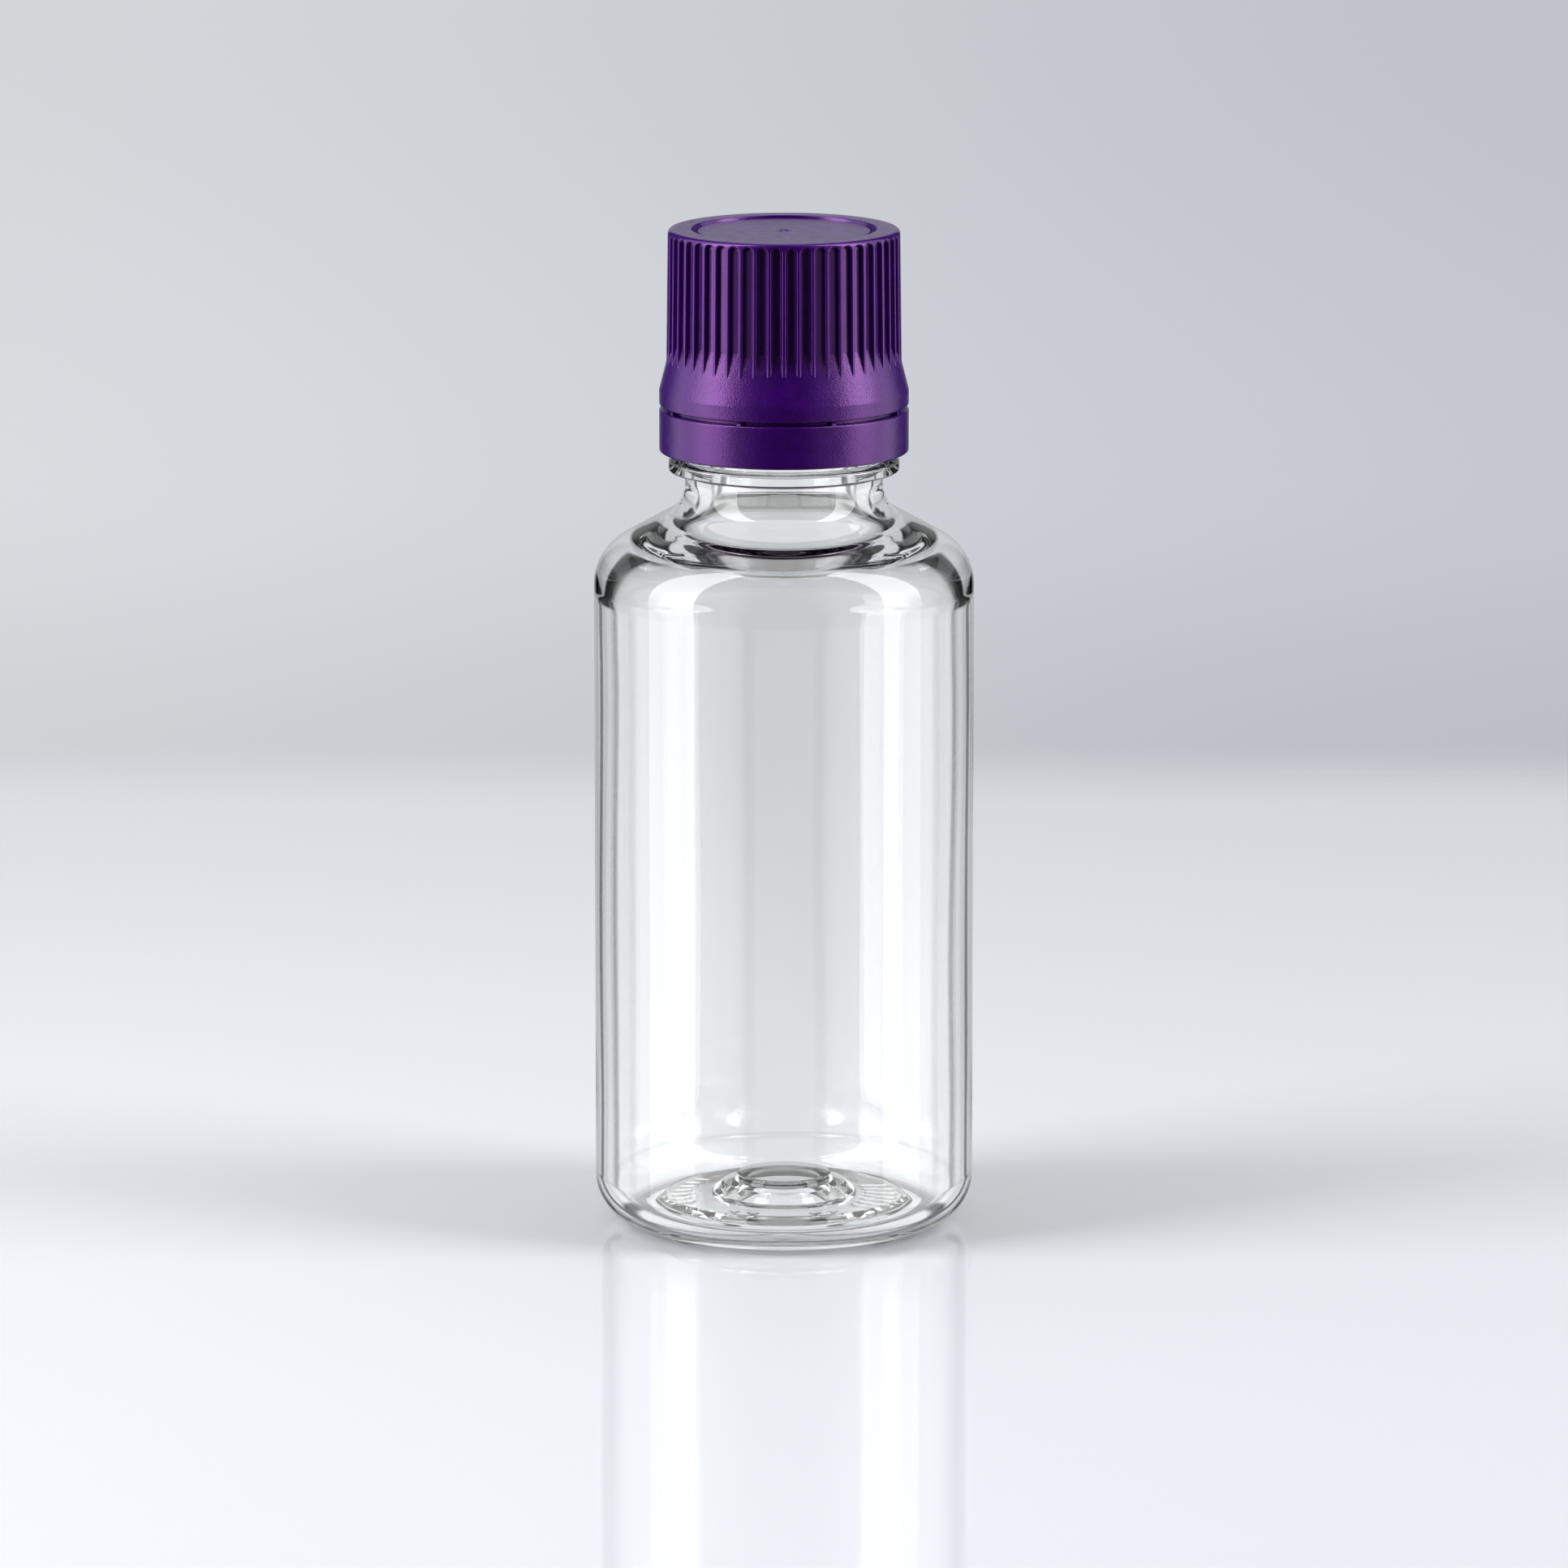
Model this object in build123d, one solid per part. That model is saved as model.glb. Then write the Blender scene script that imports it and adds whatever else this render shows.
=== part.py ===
from build123d import *
import os
from math import atan2, cos, radians, sin, tan

# Clear dropper bottle with a ribbed tamper-evident screw cap, in millimetres.
# +Z is up, the origin is the centre of the ring that the bottle stands on.

# Small roundings of moulded edges
EDGE_ROUND = 0.2
FINE_ROUND = 0.1

# Bottle body
BODY_DIA = 34.8
WALL = 1.5
WALL_TOP = 59.5
SHOULDER_ROUND = 5.0
SHOULDER_SLOPE = 29.1
HEEL_ROUND = 4.3

# Base: standing ring, pushed-up panel and the hollow nub in its middle
FOOT_WIDTH = 1.2
FOOT_STEP = 0.9
PANEL_RISE = 0.3
FLOOR_WALL = 1.5
NUB_FOOT_DIA = 13.2
NUB_FOOT_FLARE = 1.0
NUB_STEP_HEIGHT = 0.9
NUB_LEDGE = 1.3
NUB_HEIGHT = 1.65
NUB_COLLAR = 0.3
NUB_WALL = 1.0
NUB_ROOF = 2.0

# Neck finish, whose diameters follow from the tamper band inwards
NECK_WALL = 1.4
NECK_FILLET = 2.8
PLAIN_NECK = 3.05
RING_REACH = 1.5
RING_THICK = 1.0
RING_TAPER = 0.25
NECK_HEIGHT = 17.8
THREAD_SINK = 1.0
LIP_ROUND = 0.4
CATCH_REACH = 0.8
CATCH_LAND = 0.4

# Tamper band
BAND_DIA = 22.8
BAND_WALL = 1.0
BAND_PLAY = 0.55
BAND_HEIGHT = 3.93
BAND_RIDE = 0.76
ROOT_KEY = 0.25
FLAP_COUNT = 8
FLAP_SINK = 1.2
FLAP_LIP = 0.5
FLAP_HEIGHT = 2.1
FLAP_NOSE = 0.4
FLAP_SLOT = 1.8
FLAP_PLAY = 0.2
BRIDGE_COUNT = 8
BRIDGE_WIDTH = 0.6
BRIDGE_DEPTH = 0.55
BRIDGE_INSET = 0.12
BRIDGE_TURN = 1.2

# Screw cap
BREAK_GAP = 0.34
SKIRT_LAND = 1.38
CONE_HEIGHT = 2.55
GRIP_INSET = 0.65
GRIP_TAPER = 0.15
TOP_RIM = 2.15
TOP_ROUND = 0.45
RIB_COUNT = 50
GROOVE_WIDTH = 0.78
GROOVE_DEPTH = 0.5
GROOVE_DRAFT = 14.0
GROOVE_STOP = 0.35
CROWN = 1.2
DISC_SUNK = 0.2
MOAT_WIDTH = 0.6
MOAT_DEPTH = 0.45
MOAT_DRAFT = 0.12
THREAD_ROOM = 1.4
CATCH_ROOM = 0.3
CATCH_RELIEF = 1.45

# Wad in the crown, held by a snap bead in the bore
WAD_THICK = 1.0
WAD_PLAY = 0.3
SNAP_BEAD = 0.45
SNAP_DROP = 0.2
SNAP_HEIGHT = 0.4

# Dropper insert
FLANGE_INSET = 0.2
FLANGE_THICK = 1.0
FLANGE_ROUND = 0.3
PLUG_LENGTH = 9.0
PLUG_PLAY = 0.1
PLUG_WALL = 0.9
PLUG_LEAD = 0.6
SEAL_COUNT = 3
SEAL_PITCH = 2.2
SEAL_FIRST = 1.6
SEAL_HALF = 0.45
SEAL_PRESS = 0.05
WELL_DEPTH = 3.2
WELL_WALL = 1.15
WELL_DRAFT = 0.3
WELL_ROUND = 0.4
WEB_THICK = 0.9
SPOUT_FOOT_DIA = 4.2
SPOUT_TIP_DIA = 2.9
CHANNEL_DIA = 1.1
TIP_FLARE_DIA = 1.9
TIP_FLARE_DEPTH = 0.8
STEM_DIA = 3.6
STEM_LENGTH = 2.6
VENT_GAP = 1.95
VENT_DIA = 2.2
VENT_BORE = 0.7
VENT_LENGTH = 6.0

# Diameters of the neck, cap and insert, each from the one that it fits
CATCH_DIA = BAND_DIA - 2 * (BAND_WALL + BAND_PLAY)
NECK_DIA = CATCH_DIA - 2 * CATCH_REACH
RING_DIA = NECK_DIA + 2 * RING_REACH
ROOT_DIA = NECK_DIA - 2 * THREAD_SINK
NECK_BORE = ROOT_DIA - 2 * NECK_WALL
FLANGE_DIA = ROOT_DIA - 2 * FLANGE_INSET
CAP_BORE = ROOT_DIA + 2 * THREAD_ROOM
GRIP_LOW_DIA = BAND_DIA - 2 * GRIP_INSET
GRIP_TOP_DIA = GRIP_LOW_DIA - 2 * GRIP_TAPER
DISC_DIA = GRIP_TOP_DIA - 2 * (TOP_RIM + MOAT_WIDTH)
NUB_STEP_DIA = NUB_FOOT_DIA - 2 * NUB_FOOT_FLARE
NUB_TOP_DIA = NUB_STEP_DIA - 2 * NUB_LEDGE

# Heights and radii that the pieces share
BODY_R = BODY_DIA / 2
NECK_R = NECK_DIA / 2
BORE_R = NECK_BORE / 2
SLOPE = tan(radians(SHOULDER_SLOPE))
HALF_TURN = tan(radians((90 - SHOULDER_SLOPE) / 2))
SHOULDER_Z = WALL_TOP + SHOULDER_ROUND * HALF_TURN
NECK_Z = SHOULDER_Z + (BODY_R - NECK_R) * SLOPE
RING_Z = NECK_Z + PLAIN_NECK
RING_TOP = RING_Z + RING_THICK
LIP_Z = RING_TOP + NECK_HEIGHT
BAND_Z = RING_TOP + BAND_RIDE
BAND_TOP = BAND_Z + BAND_HEIGHT
SKIRT_Z = BAND_TOP + BREAK_GAP
FLANGE_TOP = LIP_Z + FLANGE_THICK
WAD_TOP = FLANGE_TOP + WAD_THICK
CAP_TOP = WAD_TOP + CROWN + DISC_SUNK
FLAP_TOP = BAND_TOP - FLAP_SINK
CATCH_Z = FLAP_TOP + FLAP_PLAY


def outline(corners):
    """Face in the XZ plane from (radius, height, rounding) corners; a rounding of 0 stays sharp."""
    points = [(corner[0], corner[1]) for corner in corners]
    face = Sketch() + make_face(Polyline(*points, close=True))
    for radius, height, rounding in corners:
        if rounding > 0:
            corner = face.vertices().sort_by_distance((radius, height))[0]
            face = fillet(corner, rounding)
    return Plane.XZ * face


def turned(corners):
    """Solid of revolution about Z from the corners of its half section."""
    return revolve(outline(corners), Axis.Z)


def base_corners(lift):
    """Half section of the base, from the heel inwards, raised by the thickness of the floor."""
    foot_out = BODY_R - HEEL_ROUND
    foot_in = foot_out - FOOT_WIDTH
    panel_r = foot_in - FOOT_STEP
    panel_z = FOOT_STEP + PANEL_RISE
    soft = FOOT_STEP / 3
    return [
        (foot_in, lift, soft),
        (panel_r, FOOT_STEP + lift, soft),
        (NUB_FOOT_DIA / 2, panel_z + lift, soft),
    ], panel_z


def bottle_envelope():
    """Outside of the bottle: hollow underside, heel, wall, shoulder, support ring, catch and lip."""
    base, panel_z = base_corners(0)
    catch_r = CATCH_DIA / 2
    root_r = ROOT_DIA / 2
    catch_top = CATCH_Z + CATCH_LAND + (catch_r - root_r)
    hollow_z = panel_z + FLOOR_WALL + NUB_HEIGHT - NUB_ROOF
    underside = [
        (0, hollow_z, 0),
        (NUB_TOP_DIA / 2 - NUB_WALL, hollow_z, EDGE_ROUND),
        (NUB_STEP_DIA / 2 - NUB_WALL, panel_z, EDGE_ROUND),
    ]
    return turned(underside + list(reversed(base)) + [
        (BODY_R, 0, HEEL_ROUND),
        (BODY_R, SHOULDER_Z, SHOULDER_ROUND),
        (NECK_R, NECK_Z, NECK_FILLET),
        (NECK_R, RING_Z - RING_TAPER, EDGE_ROUND),
        (RING_DIA / 2, RING_Z, EDGE_ROUND),
        (RING_DIA / 2, RING_TOP, EDGE_ROUND),
        (NECK_R, RING_TOP, EDGE_ROUND),
        (NECK_R, CATCH_Z, 0),
        (catch_r, CATCH_Z, FINE_ROUND),
        (catch_r, CATCH_Z + CATCH_LAND, FINE_ROUND),
        (root_r, catch_top, EDGE_ROUND),
        (root_r, LIP_Z, LIP_ROUND),
        (0, LIP_Z, 0),
    ])


def bottle_cavity():
    """Inside of the bottle: floor with the nub, wall, shoulder and the plain bore of the neck."""
    base, panel_z = base_corners(FLOOR_WALL)
    wall_r = BODY_R - WALL
    floor_z = panel_z + FLOOR_WALL
    step_z = floor_z + NUB_STEP_HEIGHT
    top_z = floor_z + NUB_HEIGHT
    shoulder_z = WALL_TOP + (SHOULDER_ROUND - WALL) * HALF_TURN
    neck_z = shoulder_z + (wall_r - BORE_R) * SLOPE
    nub = [
        (0, top_z, 0),
        (NUB_TOP_DIA / 2, top_z, EDGE_ROUND),
        (NUB_TOP_DIA / 2 + NUB_COLLAR, step_z + NUB_COLLAR / 2, FINE_ROUND),
        (NUB_STEP_DIA / 2, step_z, EDGE_ROUND),
    ]
    return turned(nub + list(reversed(base)) + [
        (wall_r, FLOOR_WALL, HEEL_ROUND - WALL),
        (wall_r, shoulder_z, SHOULDER_ROUND - WALL),
        (BORE_R, neck_z, NECK_FILLET + WALL),
        (BORE_R, LIP_Z + 1, 0),
        (0, LIP_Z + 1, 0),
    ])


def make_bottle():
    """Bottle blown in one piece with its neck finish."""
    return bottle_envelope() - bottle_cavity()


def make_insert():
    """Dropper insert: flange on the lip, plug in the bore, drip spout in a well and an air vent tube."""
    plug_r = BORE_R - PLUG_PLAY
    plug_in = plug_r - PLUG_WALL
    plug_z = LIP_Z - PLUG_LENGTH
    well_z = FLANGE_TOP - WELL_DEPTH
    web_z = well_z - WEB_THICK
    well_r = plug_r - WELL_WALL
    shell = turned([
        (STEM_DIA / 2, web_z, EDGE_ROUND),
        (STEM_DIA / 2, web_z - STEM_LENGTH, EDGE_ROUND),
        (0, web_z - STEM_LENGTH, 0),
        (0, FLANGE_TOP, 0),
        (SPOUT_TIP_DIA / 2, FLANGE_TOP, EDGE_ROUND),
        (SPOUT_FOOT_DIA / 2, well_z, WELL_ROUND),
        (well_r, well_z, WELL_ROUND),
        (well_r + WELL_DRAFT, FLANGE_TOP, EDGE_ROUND),
        (FLANGE_DIA / 2, FLANGE_TOP, FLANGE_ROUND),
        (FLANGE_DIA / 2, LIP_Z, FINE_ROUND),
        (plug_r, LIP_Z, 0),
        (plug_r, plug_z + PLUG_LEAD, EDGE_ROUND),
        (plug_r - PLUG_LEAD / 2, plug_z, FINE_ROUND),
        (plug_in, plug_z, FINE_ROUND),
        (plug_in, web_z, WELL_ROUND),
    ])
    for index in range(SEAL_COUNT):
        shell += seal_bead(LIP_Z - SEAL_FIRST - index * SEAL_PITCH, plug_r)
    vent_z = web_z - VENT_LENGTH
    vent_x = plug_in - VENT_GAP
    shell += Pos(vent_x, 0, vent_z) * upright(VENT_DIA / 2, VENT_LENGTH + WEB_THICK / 2)
    shell -= Pos(vent_x, 0, vent_z) * upright(VENT_BORE / 2, VENT_LENGTH + WEB_THICK)
    return shell - turned([
        (0, web_z - STEM_LENGTH, 0),
        (CHANNEL_DIA / 2, web_z - STEM_LENGTH, 0),
        (CHANNEL_DIA / 2, FLANGE_TOP - TIP_FLARE_DEPTH, 0),
        (TIP_FLARE_DIA / 2, FLANGE_TOP, 0),
        (0, FLANGE_TOP, 0),
    ])


def seal_bead(height, plug_r):
    """Rounded bead round the plug that presses into the bore."""
    crest_r = BORE_R + SEAL_PRESS
    return turned([
        (plug_r - PLUG_WALL / 2, height - SEAL_HALF, 0),
        (plug_r, height - SEAL_HALF, 0),
        (crest_r, height, EDGE_ROUND),
        (plug_r, height + SEAL_HALF, 0),
        (plug_r - PLUG_WALL / 2, height + SEAL_HALF, 0),
    ])


def upright(radius, height):
    """Cylinder that stands on its own centre."""
    return Cylinder(radius, height, align=(Align.CENTER, Align.CENTER, Align.MIN))


def make_wad():
    """Foamed disc that closes the spout, loose in the crown of the cap."""
    return Pos(0, 0, FLANGE_TOP) * upright(CAP_BORE / 2 - WAD_PLAY, WAD_THICK)


def grip_groove():
    """Cutter for one groove between two ribs, with drafted sides and an arched upper end."""
    grip_z = SKIRT_Z + SKIRT_LAND + CONE_HEIGHT
    draft = atan2((GRIP_LOW_DIA - GRIP_TOP_DIA) / 2, CAP_TOP - grip_z)
    inward = (-cos(draft), 0, -sin(draft))
    face = Plane(origin=(GRIP_LOW_DIA / 2, 0, grip_z), x_dir=(0, -1, 0), z_dir=inward)
    margin = GROOVE_DEPTH
    width = GROOVE_WIDTH + 2 * margin * tan(radians(GROOVE_DRAFT))
    top = (CAP_TOP - GROOVE_STOP - grip_z) / cos(draft)
    bottom = -CONE_HEIGHT / 2
    slot = Pos(0, (top + bottom) / 2) * Rot(0, 0, 90) * SlotOverall(top - bottom, width)
    blank = face.offset(-margin) * slot
    return extrude(blank, amount=GROOVE_DEPTH + margin, taper=GROOVE_DRAFT)


def cap_grip():
    """Ribbed upper part of the cap with its sunk disc, before it is hollowed."""
    land_z = SKIRT_Z + SKIRT_LAND
    low_r = GRIP_LOW_DIA / 2
    disc_r = DISC_DIA / 2
    grip = turned([
        (0, land_z, 0),
        (low_r, land_z, 0),
        (low_r, land_z + CONE_HEIGHT, 0),
        (GRIP_TOP_DIA / 2, CAP_TOP, TOP_ROUND),
        (disc_r + MOAT_WIDTH, CAP_TOP, FINE_ROUND),
        (disc_r + MOAT_WIDTH - MOAT_DRAFT, CAP_TOP - MOAT_DEPTH, FINE_ROUND),
        (disc_r + MOAT_DRAFT, CAP_TOP - MOAT_DEPTH, FINE_ROUND),
        (disc_r, CAP_TOP - DISC_SUNK, FINE_ROUND),
        (0, CAP_TOP - DISC_SUNK, 0),
    ])
    return grip.cut(*[Rot(0, 0, 360 * (index + 0.5) / RIB_COUNT - 90) * grip_groove()
                      for index in range(RIB_COUNT)])


def cap_skirt():
    """Plain flared foot of the cap that the ribs run out into."""
    skirt_r = BAND_DIA / 2
    land_z = SKIRT_Z + SKIRT_LAND
    flare = (skirt_r - GRIP_LOW_DIA / 2) / CONE_HEIGHT
    buried_r = (GRIP_TOP_DIA / 2 - GROOVE_DEPTH + CAP_BORE / 2) / 2
    buried_z = land_z + (skirt_r - buried_r) / flare
    return turned([
        (0, SKIRT_Z, 0),
        (skirt_r, SKIRT_Z, EDGE_ROUND),
        (skirt_r, land_z, EDGE_ROUND),
        (buried_r, buried_z, 0),
        (0, buried_z, 0),
    ])


def cap_hollow():
    """Inside of the cap: room for the catch, bore, snap bead under the wad and the wad's seat."""
    bore_r = CAP_BORE / 2
    room_r = CATCH_DIA / 2 + CATCH_ROOM
    room_top = SKIRT_Z + CATCH_RELIEF
    bead_z = FLANGE_TOP - SNAP_DROP
    bead_r = bore_r - SNAP_BEAD
    return turned([
        (0, SKIRT_Z, 0),
        (room_r, SKIRT_Z, 0),
        (room_r, room_top, EDGE_ROUND),
        (bore_r, room_top + (room_r - bore_r), EDGE_ROUND),
        (bore_r, bead_z - SNAP_HEIGHT - SNAP_BEAD, 0),
        (bead_r, bead_z - SNAP_HEIGHT / 2, FINE_ROUND),
        (bead_r, bead_z, 0),
        (bore_r, bead_z, 0),
        (bore_r, WAD_TOP, 0),
        (0, WAD_TOP, 0),
    ])


def make_cap():
    """Screw cap: ribbed grip on a flared skirt, hollowed for the neck and the wad."""
    return (cap_grip() + cap_skirt()) - cap_hollow()


def band_flaps():
    """Ring of inward flaps that catch under the bottle's catch when the cap is first unscrewed."""
    tip_r = CATCH_DIA / 2 - FLAP_LIP
    wall_r = BAND_DIA / 2 - BAND_WALL
    ring = turned([
        (tip_r, FLAP_TOP, 0),
        (tip_r, FLAP_TOP - FLAP_NOSE, FINE_ROUND),
        (wall_r, FLAP_TOP - FLAP_HEIGHT, 0),
        (wall_r + ROOT_KEY, FLAP_TOP - FLAP_HEIGHT, 0),
        (wall_r + ROOT_KEY, FLAP_TOP, 0),
    ])
    reach = wall_r - tip_r
    slot = Pos(wall_r - reach, 0, FLAP_TOP - FLAP_HEIGHT) * Box(
        2 * reach, FLAP_SLOT, FLAP_HEIGHT, align=(Align.CENTER, Align.CENTER, Align.MIN))
    slots = [Rot(0, 0, 360 * index / FLAP_COUNT) * slot for index in range(FLAP_COUNT)]
    return ring.cut(*slots)


def bridge():
    """Thin bridge that stands on the band's top edge and meets the cap's skirt."""
    radius = BAND_DIA / 2 - BRIDGE_INSET - BRIDGE_DEPTH / 2
    block = Box(
        BRIDGE_DEPTH, BRIDGE_WIDTH, BREAK_GAP + ROOT_KEY, align=(Align.CENTER, Align.CENTER, Align.MIN))
    return Pos(radius, 0, BAND_TOP - ROOT_KEY) * block


def make_band():
    """Tamper band with its flaps and the bridges on its top edge."""
    outer_r = BAND_DIA / 2
    inner_r = outer_r - BAND_WALL
    band = turned([
        (inner_r, BAND_Z, EDGE_ROUND),
        (outer_r, BAND_Z, EDGE_ROUND),
        (outer_r, BAND_TOP, EDGE_ROUND),
        (inner_r, BAND_TOP, FINE_ROUND),
    ])
    band += band_flaps()
    step = 360 / BRIDGE_COUNT
    for index in range(BRIDGE_COUNT):
        band += Rot(0, 0, BRIDGE_TURN + (index + 0.5) * step - 90) * bridge()
    return band


os.makedirs("parts", exist_ok=True)
for name, solid in {
    "bottle": make_bottle(),
    "dropper_insert": make_insert(),
    "sealing_wad": make_wad(),
    "screw_cap": make_cap(),
    "tamper_band": make_band(),
}.items():
    export_step(solid, f"parts/{name}.step")
    box = solid.bounding_box()
    print(name, len(solid.solids()), "solid", round(solid.volume, 1), "mm3", box.min, box.max)
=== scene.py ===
"""Clear dropper bottle with a ribbed tamper-evident cap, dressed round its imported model.

Sizes of pieces are in millimetres and become metres where a mesh is written. Finishes, lights, floor and
camera are in metres. +Z is up, the bottle stands on z = 0 and -Y faces the camera.
"""

import logging
import math
from collections.abc import Callable
from dataclasses import dataclass
from enum import Enum

import bpy
import numpy as np
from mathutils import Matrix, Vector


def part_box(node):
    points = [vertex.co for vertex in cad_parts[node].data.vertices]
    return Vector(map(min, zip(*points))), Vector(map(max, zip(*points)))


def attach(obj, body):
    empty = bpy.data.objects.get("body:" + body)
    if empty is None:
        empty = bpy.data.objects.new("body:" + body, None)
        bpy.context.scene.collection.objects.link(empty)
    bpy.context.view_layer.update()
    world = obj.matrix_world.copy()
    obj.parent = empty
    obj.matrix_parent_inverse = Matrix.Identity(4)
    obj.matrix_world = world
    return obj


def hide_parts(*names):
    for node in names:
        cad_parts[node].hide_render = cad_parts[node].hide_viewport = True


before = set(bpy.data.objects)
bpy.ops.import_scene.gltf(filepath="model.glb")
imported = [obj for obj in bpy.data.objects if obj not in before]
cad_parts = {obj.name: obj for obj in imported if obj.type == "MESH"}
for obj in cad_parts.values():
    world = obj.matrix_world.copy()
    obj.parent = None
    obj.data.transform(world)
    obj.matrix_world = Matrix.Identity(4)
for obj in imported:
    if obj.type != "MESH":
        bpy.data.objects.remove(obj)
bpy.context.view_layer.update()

LOG = logging.getLogger("dropper_bottle")
MM = 0.001
FULL_TURN = 2 * math.pi
TOUCHING = 1e-6

Array = np.ndarray
Material = bpy.types.Material
Mesh = bpy.types.Mesh
Node = bpy.types.Node
Socket = bpy.types.NodeSocket
Colour = tuple[float, float, float]
Span = tuple[float, float]
Levels = tuple[Span, ...]
Moved = tuple[Array, Array]
Relief = Callable[[Array, Array, Array], Moved]

WHITE: Colour = (1.0, 1.0, 1.0)
# Counts past which a ray has been reflected, and has gone through more than one wall of clear plastic.
REFLECTED_DEPTH = 0.5
DEEP_INSIDE_DEPTH = 2.5


class Slot(Enum):
    """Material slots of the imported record."""

    CLEAR = "clear_plastic"
    NATURAL = "natural_plastic"
    FOAM = "white_foam"
    PURPLE = "purple_plastic"


class Body(Enum):
    """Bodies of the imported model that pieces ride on."""

    BOTTLE = "bottle"
    WAD = "wad"
    CAP = "cap"
    BAND = "band"


@dataclass(frozen=True)
class Extent:
    """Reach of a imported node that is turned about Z, in millimetres."""

    radius: float
    low: float
    high: float

    @classmethod
    def of(cls, node: str) -> "Extent":
        """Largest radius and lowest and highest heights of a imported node."""
        low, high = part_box(node)
        return cls(high.x / MM, low.z / MM, high.z / MM)


@dataclass(frozen=True)
class Corner:
    """Corner of a turned section.

    A step spaces the run that starts here evenly. Without one, points crowd at the run's two ends.
    """

    r: float
    z: float
    rounding: float = 0.0
    step: float = 0.0


@dataclass(frozen=True)
class Outline:
    """Section of a turned piece: straight runs between corners, each corner with its own arc."""

    corners: tuple[Corner, ...]
    closed: bool = False
    arc_turn: float = math.radians(10)
    arc_step: float = 0.3
    run_step: float = 1.0

    def sampled(self) -> Array:
        """Samples the section from its first corner to its last, or round again where it is closed.

        Returns:
            Radii and heights, one pair for each point.
        """
        arcs = [self._arc(index) for index in range(len(self.corners))]
        stretches = []
        for index, arc in enumerate(arcs):
            stretches.append(arc)
            if index + 1 < len(arcs) or self.closed:
                following = arcs[(index + 1) % len(arcs)]
                stretches.append(self._run(arc[-1], following[0], self.corners[index].step))
        return np.vstack(stretches)

    def _place(self, index: int) -> Array:
        """Place of a corner, counted round the section."""
        corner = self.corners[index % len(self.corners)]
        return np.array([corner.r, corner.z])

    def _arc(self, index: int) -> Array:
        """Points of the arc that rounds a corner.

        Args:
            index: Number of the corner.

        Returns:
            The arc's points, or the corner itself where it is sharp.
        """
        here = self._place(index)
        rounding = self.corners[index].rounding
        if rounding <= 0:
            return here[None, :]
        back = self._place(index - 1) - here
        ahead = self._place(index + 1) - here
        back /= np.linalg.norm(back)
        ahead /= np.linalg.norm(ahead)
        opening = math.acos(float(np.clip(back @ ahead, -1, 1)))
        reach = rounding / math.tan(opening / 2)
        middle = (back + ahead) / np.linalg.norm(back + ahead)
        centre = here + middle * rounding / math.sin(opening / 2)
        sweep = math.pi - opening
        count = max(3, math.ceil(sweep / self.arc_turn), math.ceil(sweep * rounding / self.arc_step))
        share = np.linspace(0, 1, count + 1)[:, None]
        first = here + back * reach - centre
        last = here + ahead * reach - centre
        return centre + (np.sin((1 - share) * sweep) * first + np.sin(share * sweep) * last) / math.sin(sweep)

    def _run(self, start: Array, end: Array, step: float) -> Array:
        """Points inside a straight run.

        Args:
            start: Point that the run leaves.
            end: Point that it reaches.
            step: Even spacing, or 0 for points that crowd at both ends.

        Returns:
            The points between the two, without them.
        """
        length = float(np.linalg.norm(end - start))
        if step > 0:
            count = math.ceil(length / step)
            share = np.arange(1, count) / count
        else:
            count = 2 + int(length / self.run_step)
            share = (1 - np.cos(math.pi * np.arange(1, count) / count)) / 2
        return start + share[:, None] * (end - start)


def even_turns(count: int) -> Array:
    """Angles of evenly spaced columns round a turned piece."""
    return FULL_TURN * np.arange(count) / count


def ramp_up(value: Array, start: float, end: float) -> Array:
    """Smooth step from 0 at start to 1 at end."""
    share = np.clip((value - start) / (end - start), 0, 1)
    return share * share * (3 - 2 * share)


def angle_from(turn: Array, centre: float) -> Array:
    """Signed angle between columns and a centre, within half a turn either way."""
    return (turn - centre + math.pi) % FULL_TURN - math.pi


def signed_volume(points: Array, triangles: Array) -> float:
    """Volume inside a closed skin, negative where its faces point inwards."""
    one, two, three = (points[triangles[:, corner]] for corner in range(3))
    return float(np.einsum("ij,ij->", one, np.cross(two, three)) / 6)


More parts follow.
